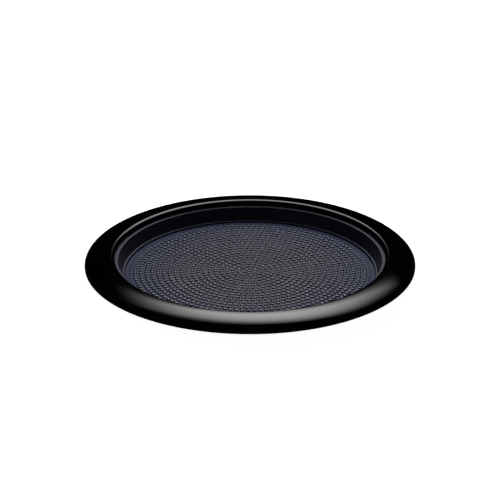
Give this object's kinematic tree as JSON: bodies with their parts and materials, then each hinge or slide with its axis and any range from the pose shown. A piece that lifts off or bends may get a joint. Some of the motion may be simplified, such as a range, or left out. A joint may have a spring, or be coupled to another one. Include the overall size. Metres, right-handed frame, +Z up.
{
  "type": "non-slip serving tray",
  "caption": "Round serving tray with a wide domed gloss rim, a recessed matt pan and a lift-out knobbed rubber mat, standing on rubber feet.",
  "frame": {"origin": "on the tray's axis, at the level of the surface that its feet stand on", "axes": "+Z up along the tray's axis; +X passes through the centre of the first foot; the tray is round, so +Y is its like"},
  "size_m": [0.401, 0.401, 0.0341],
  "materials": {
    "rim_gloss": "high gloss black",
    "pan_matt": "fine matt, dark blue-grey",
    "mat_rubber": "matt moulded rubber with raised knobs",
    "shell_satin": "satin black",
    "foot_rubber": "matt black rubber",
    "screw_steel": "zinc-plated steel"
  },
  "bodies": {
    "tray": {"rim_shell": "rim_gloss", "liner_pan": "pan_matt", "lower_shell": "shell_satin", "foot_pad_1": "foot_rubber", "foot_pad_2": "foot_rubber", "foot_pad_3": "foot_rubber", "foot_pad_4": "foot_rubber", "foot_pad_5": "foot_rubber", "foot_pad_6": "foot_rubber", "shell_screw_1": "screw_steel", "shell_screw_2": "screw_steel", "shell_screw_3": "screw_steel", "shell_screw_4": "screw_steel", "shell_screw_5": "screw_steel", "shell_screw_6": "screw_steel", "shell_screw_7": "screw_steel", "shell_screw_8": "screw_steel"},
    "mat": {"non_slip_mat": "mat_rubber"}
  },
  "joints": [
    {"name": "mat_lift", "type": "slide", "parent": "tray", "child": "mat", "axis": [0, 0, 1], "range_m": [0, 0.045]}
  ]
}
